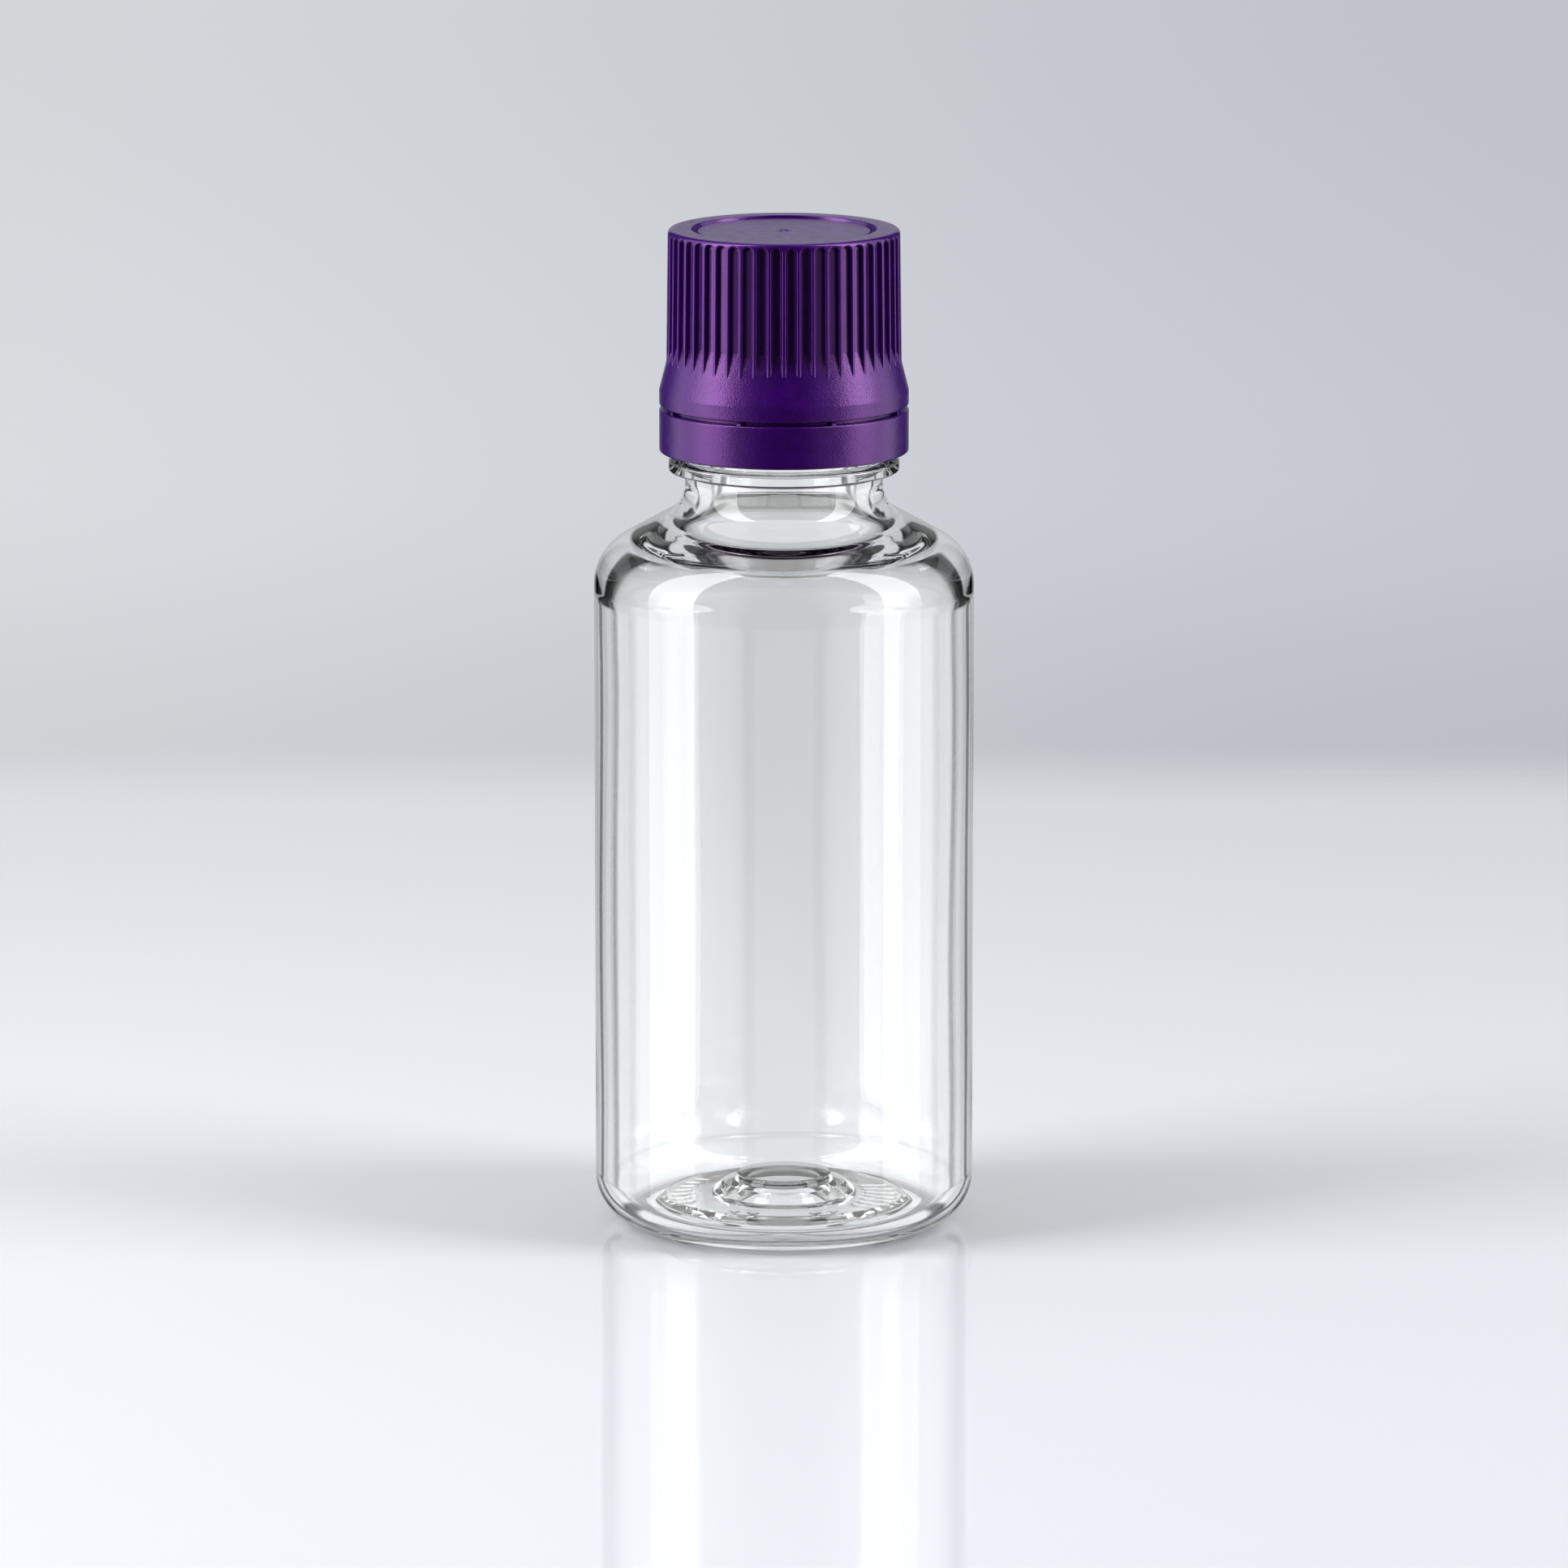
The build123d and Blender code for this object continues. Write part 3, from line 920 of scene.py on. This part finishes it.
@dataclass(frozen=True)
class ScrewCap:
    """Purple cap: ribbed grip with a sunk disc on top, on a flared skirt, threaded inside."""

    reach: Extent
    wad: Extent
    skirt_land: float = 1.38
    cone_height: float = 2.55
    grip_low_r: float = 10.75
    grip_top_r: float = 10.6
    top_round: float = 0.45
    rib_count: int = 50
    groove_width: float = 0.78
    groove_depth: float = 0.5
    groove_draft: float = math.radians(14)
    groove_stop: float = 0.35
    groove_floor_round: float = 0.14
    rib_round: float = 0.13
    disc_r: float = 7.85
    disc_sunk: float = 0.2
    moat_width: float = 0.6
    moat_depth: float = 0.45
    moat_draft: float = 0.12
    bore_r: float = 9.45
    wall_middle_r: float = 10.075
    room_r: float = 10.15
    room_height: float = 1.45
    snap_bead: float = 0.45
    snap_drop: float = 0.2
    snap_height: float = 0.4
    edge_round: float = 0.2
    fine_round: float = 0.1
    fine_step: float = 0.07
    disc_step: float = 0.12
    thread_step: float = 0.15
    arch_zone: float = 1.6
    cone_zone: float = 2.3
    gate_r: float = 0.45
    gate_height: float = 0.17
    gate_mound: float = 0.55
    gate_star: float = 0.45
    gate_rays: int = 5
    gate_turn: float = 0.7
    gate_pit: float = 0.8
    gate_pit_r: float = 0.16
    gate_zone: float = 1.5
    thread_drop: float = 1.5
    thread_below: float = 1.1
    thread_above: float = 5.9
    top_satin: float = 0.55
    cone_margin: float = 0.02

    @property
    def grip_z(self) -> float:
        """Height at which the ribs start on the cone."""
        return self.reach.low + self.skirt_land + self.cone_height

    @property
    def flare(self) -> float:
        """Radius that the cone loses for each millimetre of height."""
        return (self.reach.radius - self.grip_low_r) / self.cone_height

    @property
    def pitch(self) -> float:
        """Angle between two ribs."""
        return FULL_TURN / self.rib_count

    @property
    def crest_r(self) -> float:
        """Radius of the ribs' crests, halfway up."""
        return (self.grip_low_r + self.grip_top_r) / 2

    @property
    def groove_half(self) -> float:
        """Half the width of a groove at the crests."""
        return self.groove_width / 2 + self.groove_depth * math.tan(self.groove_draft)

    @property
    def thread_z(self) -> float:
        """Height at which the inner thread starts."""
        return Bottle.thread_z - self.thread_drop

    def groove_section(self) -> Array:
        """Samples half the cross section of a groove.

        Returns:
            Angles from the groove's middle and depths, one pair for each point.
        """
        section = Outline((
            Corner(0, self.groove_depth),
            Corner(self.groove_width / 2, self.groove_depth, self.groove_floor_round),
            Corner(self.groove_half, 0, self.rib_round),
            Corner(self.pitch / 2 * self.crest_r, 0),
        ), arc_turn=math.radians(19), arc_step=0.1)
        return section.sampled() / np.array([self.crest_r, 1.0])

    def turns(self) -> Array:
        """Places the columns along the edges of every rib.

        Returns:
            Their angles.
        """
        half = self.groove_section()[:, 0]
        whole = np.concatenate([-half[:0:-1], half[:-1]])
        centres = self.pitch * (np.arange(self.rib_count) + 0.5) - math.pi / 2
        return (centres[:, None] + whole[None, :]).ravel()

    def depth(self, height: Array, turn: Array) -> Array:
        """Works out the grooves, with the arch that closes each at its top.

        Args:
            height: Heights of the points.
            turn: Their angles.

        Returns:
            Depth of the groove at each point.
        """
        section = self.groove_section()
        arch_z = self.reach.high - self.groove_stop - self.groove_half
        across = (turn + math.pi / 2) % self.pitch - self.pitch / 2
        away = np.hypot(across, np.maximum(height - arch_z, 0) / self.crest_r)
        return np.interp(away, section[:, 0], section[:, 1])

    def relief(self, radius: Array, height: Array, turn: Array) -> Moved:
        """Cuts the grooves down to the cone, raises the inner thread and leaves the gate's scar on the disc.

        Args:
            radius: Radii of the points.
            height: Their heights.
            turn: Their angles.

        Returns:
            The moved radii and heights.
        """
        cone = self.grip_low_r - self.flare * (height - self.grip_z)
        outside = (radius > self.wall_middle_r) & (height > self.grip_z)
        grooved = np.maximum(radius - self.depth(height, turn), np.minimum(cone, radius))
        on_bore = np.abs(radius - self.bore_r) < TOUCHING
        shaped = np.where(outside, grooved, radius) - on_bore * Thread(self.thread_z).ridge(height, turn)
        top = height > self.reach.high - self.disc_sunk - TOUCHING
        star = np.cos(self.gate_rays * turn + self.gate_turn) * np.clip(radius / self.gate_r, 0, 1)
        mound = np.exp(-((radius / self.gate_r) ** 2)) * (self.gate_mound + self.gate_star * star)
        scar = mound - self.gate_pit * np.exp(-((radius / self.gate_pit_r) ** 2))
        return shaped, height + top * (radius < self.gate_zone) * self.gate_height * scar

    def corners(self) -> tuple[Corner, ...]:
        """Lists the corners from the middle of the top, over the outside and up the inside to the wad's seat.

        Returns:
            The corners.
        """
        top, low = self.reach.high, self.reach.low
        land_z = low + self.skirt_land
        room_top = low + self.room_height
        bead_z = self.wad.low - self.snap_drop
        fine, edge = self.fine_round, self.edge_round
        taper = (self.grip_low_r - self.grip_top_r) / (top - self.grip_z)
        arch_low, cone_high = top - self.arch_zone, self.grip_z + self.cone_zone
        return (
            Corner(0, top - self.disc_sunk, step=self.disc_step),
            Corner(self.gate_zone, top - self.disc_sunk),
            Corner(self.disc_r, top - self.disc_sunk, fine),
            Corner(self.disc_r + self.moat_draft, top - self.moat_depth, fine),
            Corner(self.disc_r + self.moat_width - self.moat_draft, top - self.moat_depth, fine),
            Corner(self.disc_r + self.moat_width, top, fine),
            Corner(self.grip_top_r, top, self.top_round, self.fine_step),
            Corner(self.grip_top_r + taper * (top - arch_low), arch_low),
            Corner(self.grip_low_r - taper * (cone_high - self.grip_z), cone_high, step=self.fine_step),
            Corner(self.grip_low_r, self.grip_z),
            Corner(self.reach.radius, land_z, edge),
            Corner(self.reach.radius, low, edge),
            Corner(self.room_r, low, fine),
            Corner(self.room_r, room_top, edge),
            Corner(self.bore_r, room_top + self.room_r - self.bore_r, edge),
            Corner(self.bore_r, self.thread_z - self.thread_below, step=self.thread_step),
            Corner(self.bore_r, self.thread_z + self.thread_above),
            Corner(self.bore_r, bead_z - self.snap_height - self.snap_bead, fine),
            Corner(self.bore_r - self.snap_bead, bead_z - self.snap_height / 2, fine),
            Corner(self.bore_r - self.snap_bead, bead_z, fine / 2),
            Corner(self.bore_r, bead_z, fine / 2),
            Corner(self.bore_r, self.wad.high, fine),
            Corner(0, self.wad.high),
        )

    def satin(self, points: Array) -> Array:
        """Spreads the satin finish: full on cone and skirt, less on top, none on the ribs.

        Args:
            points: Points of the cap's mesh.

        Returns:
            Share of satin at each.
        """
        radius, height = np.hypot(points[:, 0], points[:, 1]), points[:, 2]
        cone = self.grip_low_r - self.flare * (height - self.grip_z)
        on_cone = (radius < cone + self.cone_margin) | (height < self.grip_z)
        on_top = height > self.reach.high - self.moat_depth - self.fine_round
        on_top &= radius < self.grip_top_r - self.top_round
        return np.where(on_top, self.top_satin, on_cone * 1.0)

    def build(self, finish: PurplePlastic) -> None:
        """Makes the cap.

        Args:
            finish: Its finish.
        """
        mesh = turned_mesh("ribbed_cap", Outline(self.corners()), self.turns(), self.relief)
        mark_points(mesh, "satin", self.satin(mesh_points(mesh)))
        seat(mesh, finish.material(), Body.CAP, "screw_cap")


@dataclass(frozen=True)
class TamperBand:
    """Purple band under the cap, with inward flaps and the thin bridges that hold it to the cap."""

    reach: Extent
    bridge_gap: float = 0.34
    wall: float = 1.0
    flap_count: int = 8
    flap_sink: float = 1.2
    flap_tip_r: float = 9.35
    flap_height: float = 2.1
    flap_nose: float = 0.4
    flap_slot: float = 1.8
    bridge_count: int = 8
    bridge_width: float = 0.6
    bridge_depth: float = 0.55
    bridge_inset: float = 0.12
    bridge_turn: float = 1.2
    bridge_edge: float = 0.1
    lip_rise: float = 0.26
    lip_width: float = 0.3
    top_step: float = 0.06
    edge_round: float = 0.2
    satin: float = 0.75
    columns: int = 1080

    @property
    def inner_r(self) -> float:
        """Radius of the band's inside."""
        return self.reach.radius - self.wall

    @property
    def top(self) -> float:
        """Height of the band's upper edge, under the bridges."""
        return self.reach.high - self.bridge_gap

    @property
    def flap_top(self) -> float:
        """Height of the flaps' upper faces."""
        return self.top - self.flap_sink

    def relief(self, radius: Array, height: Array, turn: Array) -> Moved:
        """Opens the slots between the flaps and raises the bridges.

        Args:
            radius: Radii of the points.
            height: Their heights.
            turn: Their angles.

        Returns:
            The moved radii and heights.
        """
        inner_r = self.inner_r
        flap_low = self.flap_top - self.flap_height
        pitch = FULL_TURN / self.flap_count
        from_slot = np.abs((turn + pitch / 2) % pitch - pitch / 2) * inner_r
        over_tip = np.where(height > self.flap_top - TOUCHING, radius - self.flap_tip_r, 0)
        whole = self.flap_height + inner_r - self.flap_tip_r
        on_flap = (radius < inner_r - TOUCHING) & (height > flap_low) & (height < self.flap_top + TOUCHING)
        opened = on_flap & (from_slot < self.flap_slot / 2)
        flat = flap_low + (height - flap_low + over_tip) / whole * self.flap_height
        shaped = np.where(opened, inner_r, radius)
        raised = np.where(opened, flat, height)
        step = FULL_TURN / self.bridge_count
        first = math.radians(self.bridge_turn) + step / 2 - math.pi / 2
        from_bridge = np.abs((turn - first + step / 2) % step - step / 2) * self.reach.radius
        middle = self.reach.radius - self.bridge_inset - self.bridge_depth / 2
        half_width, half_depth = self.bridge_width / 2, self.bridge_depth / 2
        share = 1 - ramp_up(from_bridge, half_width - self.bridge_edge, half_width)
        share *= 1 - ramp_up(np.abs(radius - middle), half_depth - self.bridge_edge, half_depth)
        up = (height > self.top - TOUCHING) * share * (self.reach.high - height)
        return shaped, raised + up

    def build(self, finish: PurplePlastic) -> None:
        """Makes the band.

        Args:
            finish: Its finish.
        """
        outer_r, inner_r = self.reach.radius, self.inner_r
        soft, fine = self.edge_round, self.edge_round / 2
        outline = Outline((
            Corner(inner_r, self.top + self.lip_rise, fine / 2),
            Corner(inner_r + self.lip_width, self.top + self.lip_rise, fine / 2),
            Corner(inner_r + self.lip_width, self.top, fine / 2, self.top_step),
            Corner(outer_r, self.top, soft),
            Corner(outer_r, self.reach.low, soft),
            Corner(inner_r, self.reach.low, soft),
            Corner(inner_r, self.flap_top - self.flap_height),
            Corner(self.flap_tip_r, self.flap_top - self.flap_nose, fine),
            Corner(self.flap_tip_r, self.flap_top, fine / 2),
            Corner(inner_r, self.flap_top),
        ), closed=True)
        mesh = turned_mesh("tamper_ring", outline, even_turns(self.columns), self.relief)
        mark_points(mesh, "satin", np.full(len(mesh.vertices), self.satin))
        seat(mesh, finish.material(), Body.BAND, "tamper_band")


@dataclass(frozen=True)
class Softbox:
    """Tall soft light beside the bottle, given by its bearing from the camera's side."""

    name: str
    bearing: float
    width: float
    glow: Ramp
    distance: float = 0.5
    low: float = -0.2
    high: float = 1.6

    def build(self) -> None:
        """Makes the glowing panel, hidden from the camera and from rays straight through plastic."""
        turn = math.radians(self.bearing)
        middle = np.array([math.sin(turn), -math.cos(turn)])
        across = np.array([middle[1], -middle[0]]) * self.width / 2
        near, far = middle * self.distance - across, middle * self.distance + across
        rim = [(*near, self.low), (*far, self.low), (*far, self.high), (*near, self.high)]
        material, graph = new_material(self.name)
        height = graph.add("SeparateXYZ", graph.place()).outputs["Z"]
        glow = graph.add("Emission", Strength=graph.along(self.glow, height))
        graph.show(graph.mixed(graph.looking_through(), glow, graph.add("BsdfTransparent")))
        panel = add_object(flat_mesh(self.name, rim), material)
        panel.visible_camera = False
        panel.visible_shadow = False


@dataclass(frozen=True)
class Studio:
    """Pale glossy floor, pale backdrop, two soft lights and the camera.

    Ramps that end in rise or across run along a direction's part upwards or to the right, ramps that end in
    side along angles in the room, and those of floor and contact along places in metres.
    """

    # Painted light falloff: the backdrop seen by the camera is lighter to the left and darker to the right.
    backdrop_painted_light_left: Colour = (0.655, 0.683, 0.71)
    backdrop_painted_shade_right: Colour = (0.52, 0.54, 0.588)
    backdrop_painted_falloff_across: Ramp = Ramp(-0.09, 0.09)
    backdrop_rise: Ramp = Ramp(-0.192, -0.165, 0.95, 1.06)
    backdrop_fade_rise: Ramp = Ramp(-0.165, -0.12, 0.0, 0.06)
    # Painted light falloff: the floor's colour is lighter to the left and darker to the right and towards the
    # back.
    floor_painted_light_left: Colour = (0.74, 0.765, 0.81)
    floor_painted_shade_right: Colour = (0.66, 0.68, 0.73)
    floor_painted_shade_far: Colour = (0.55, 0.56, 0.60)
    floor_painted_falloff_across: Ramp = Ramp(-0.1, 0.1)
    floor_painted_falloff_back: Ramp = Ramp(0.0, 0.2, 0.0, 0.35)
    floor_patches: Noise = Noise(30.0)
    floor_rough: Ramp = Ramp(0.3, 0.7, 0.03, 0.05)
    floor_radius: float = 0.3
    floor_columns: int = 128
    floor_fade: Ramp = Ramp(0.192, 0.232)
    floor_power: float = 8.0
    contact_in: Ramp = Ramp(0.0128, 0.0132)
    contact_out: Ramp = Ramp(0.0128, 0.0172, 1.0, 0.0)
    through_high: Colour = (0.69, 0.715, 0.735)
    through_low: Colour = (0.87, 0.895, 0.915)
    through_rise: Ramp = Ramp(-0.235, -0.18)
    flag_side: Ramp = Ramp(math.radians(17), math.radians(24))
    flag_rise: Ramp = Ramp(-0.16, -0.02, 0.0, 0.95)
    # Painted shade: a dark band about 30 to 34 degrees below level, seen only through the plastic, stands for
    # the shaded floor under the bottle's heel.
    painted_shade_near_rise: Ramp = Ramp(-0.62, -0.56, 0.0, 0.9)
    painted_shade_far_rise: Ramp = Ramp(-0.5, -0.44, 1.0, 0.0)
    stripe_pitch: float = math.pi / 4
    stripe_side: Ramp = Ramp(math.radians(2), math.radians(5), 0.08, 1.0)
    room: Levels = ((0, 0.27), (14, 0.27), (18, 0.05), (52, 0.05), (60, 1.0), (88, 1.0),
                    (104, 0.6), (122, 0.4), (146, 0.3), (153, 0.05), (180, 0.04))
    room_peak: float = 1.5
    ambient: Levels = ((0, 0.5), (110, 0.5), (145, 0.1), (180, 0.06))
    overhead_rise: Ramp = Ramp(0.55, 0.85, 0.0, 0.35)
    softboxes: tuple[Softbox, ...] = (
        Softbox("softbox_left", bearing=-72.0, width=0.30, glow=Ramp(0.02, 0.2, 3.2, 6.5)),
        Softbox("softbox_right", bearing=76.0, width=0.25, glow=Ramp(0.02, 0.2, 2.7, 6.5)),
    )
    camera_back: float = 0.950
    camera_high: float = 0.2282
    camera_dip: float = math.radians(11.16)
    lens: float = 241.75

    def build_floor(self) -> None:
        """Makes a disc that fades into the backdrop, clear from below and to all but the camera. Its colour
        carries painted light falloff: lighter to the left, darker to the right and far back.
        """
        reach, turns = self.floor_radius, even_turns(self.floor_columns)
        rim = [(reach * math.cos(turn), reach * math.sin(turn), 0.0) for turn in turns]
        material, graph = new_material("floor")
        x, y, _ = graph.add("SeparateXYZ", graph.place()).outputs
        # Painted light falloff in the floor's colour: lighter left, darker right, darker far back.
        near = graph.blend(graph.along(self.floor_painted_falloff_across, x), self.floor_painted_light_left, self.floor_painted_shade_right)
        shader = graph.add(
            "BsdfPrincipled",
            Base_Color=graph.blend(graph.along(self.floor_painted_falloff_back, y), near, self.floor_painted_shade_far),
            Roughness=graph.along(self.floor_rough, graph.noise(self.floor_patches)),
        )
        powers = [graph.math("POWER", graph.math("ABSOLUTE", axis), self.floor_power) for axis in (x, y)]
        distance = graph.math("POWER", graph.math("ADD", *powers), 1 / self.floor_power)
        below = graph.add("NewGeometry").outputs["Backfacing"]
        radius = graph.add("VectorMath", graph.place(), operation="LENGTH").outputs["Value"]
        ring = graph.times(graph.along(self.contact_in, radius), graph.along(self.contact_out, radius))
        ray = graph.add("LightPath")
        contact = graph.times(ring, ray.outputs["Is Transmission Ray"])
        unseen = graph.rest(graph.larger(ray.outputs["Is Camera Ray"], contact))
        clear = graph.larger(graph.larger(graph.along(self.floor_fade, distance), below), unseen)
        graph.show(graph.mixed(clear, shader, graph.add("BsdfTransparent")))
        add_object(flat_mesh("floor", rim), material)

    def build_world(self) -> None:
        """Sets the room: what the camera, clear plastic, gloss and matt surfaces each see of it."""
        world = bpy.data.worlds.new("studio")
        bpy.context.scene.world = world
        world.use_nodes = True
        graph = Graph(world.node_tree)
        x, y, rise = graph.add("SeparateXYZ", graph.add("TexCoord").outputs["Generated"]).outputs
        bearing = graph.math("ABSOLUTE", graph.math("ARCTAN2", x, y))
        within = graph.math("FLOORED_MODULO", bearing, self.stripe_pitch)
        from_stripe = graph.math("ABSOLUTE", graph.math("SUBTRACT", within, self.stripe_pitch / 2))
        stripes = graph.along(self.stripe_side, from_stripe)
        # Backdrop for camera rays, with painted light falloff from the lighter left to the darker right.
        backdrop = graph.blend(graph.along(self.backdrop_painted_falloff_across, x), self.backdrop_painted_light_left, self.backdrop_painted_shade_right)
        rises = [graph.along(ramp, rise) for ramp in (self.backdrop_rise, self.backdrop_fade_rise)]
        seen = graph.add("Background", backdrop, graph.math("SUBTRACT", *rises))
        flags = graph.times(graph.along(self.flag_side, bearing), graph.along(self.flag_rise, rise))
        # Painted shade: dark band low in the room that darkens the heel as seen through the plastic.
        painted_shade_band = graph.times(graph.along(self.painted_shade_near_rise, rise), graph.along(self.painted_shade_far_rise, rise))
        open_share = graph.rest(graph.math("ADD", flags, painted_shade_band))
        shade = graph.blend(graph.along(self.through_rise, rise), self.through_low, self.through_high)
        through = graph.add("Background", shade, graph.times(stripes, open_share))
        behind = graph.math("LESS_THAN", bearing, self.stripe_pitch)
        lines = graph.larger(stripes, graph.rest(behind))
        room = graph.times(graph.times(graph.levels(bearing, self.room), lines), self.room_peak)
        gloss = graph.add("Background", WHITE, room)
        overhead = graph.along(self.overhead_rise, rise)
        ambient = graph.levels(bearing, self.ambient)
        matt = graph.add("Background", WHITE, graph.math("ADD", ambient, overhead))
        ray = graph.add("LightPath")
        inside = graph.larger(ray.outputs["Is Glossy Ray"], ray.outputs["Is Transmission Ray"])
        final = graph.mixed(inside, matt, gloss)
        final = graph.mixed(graph.looking_through(), final, through)
        graph.show(graph.mixed(ray.outputs["Is Camera Ray"], final, seen), "OutputWorld")

    def build_camera(self) -> None:
        """Sets the camera at the photograph's viewing angle."""
        camera = bpy.data.cameras.new("camera")
        camera.lens = self.lens
        camera.sensor_width = 36.0
        camera.clip_start = 0.01
        holder = bpy.data.objects.new("camera", camera)
        holder.location = (0, -self.camera_back, self.camera_high)
        holder.rotation_euler = (math.pi / 2 - self.camera_dip, 0, 0)
        bpy.context.scene.collection.objects.link(holder)
        bpy.context.scene.camera = holder

    def build(self) -> None:
        """Makes the whole studio."""
        self.build_floor()
        self.build_world()
        for softbox in self.softboxes:
            softbox.build()
        self.build_camera()
        scene = bpy.context.scene
        scene.view_settings.view_transform = "Standard"
        scene.cycles.max_bounces = 24
        scene.cycles.transmission_bounces = 24
        scene.cycles.glossy_bounces = 12
        scene.cycles.transparent_max_bounces = 16


def main() -> None:
    """Builds every sub-assembly in order."""
    logging.basicConfig(level=logging.INFO, format="%(name)s: %(message)s")
    purple = PurplePlastic()
    Bottle(Extent.of("bottle")).build(ClearPlastic())
    DropperInsert().build(NaturalPlastic())
    SealingWad(Extent.of("sealing_wad")).build(WhiteFoam())
    ScrewCap(Extent.of("screw_cap"), Extent.of("sealing_wad")).build(purple)
    TamperBand(Extent.of("tamper_band")).build(purple)
    Studio().build()


if __name__ == "__main__":
    main()
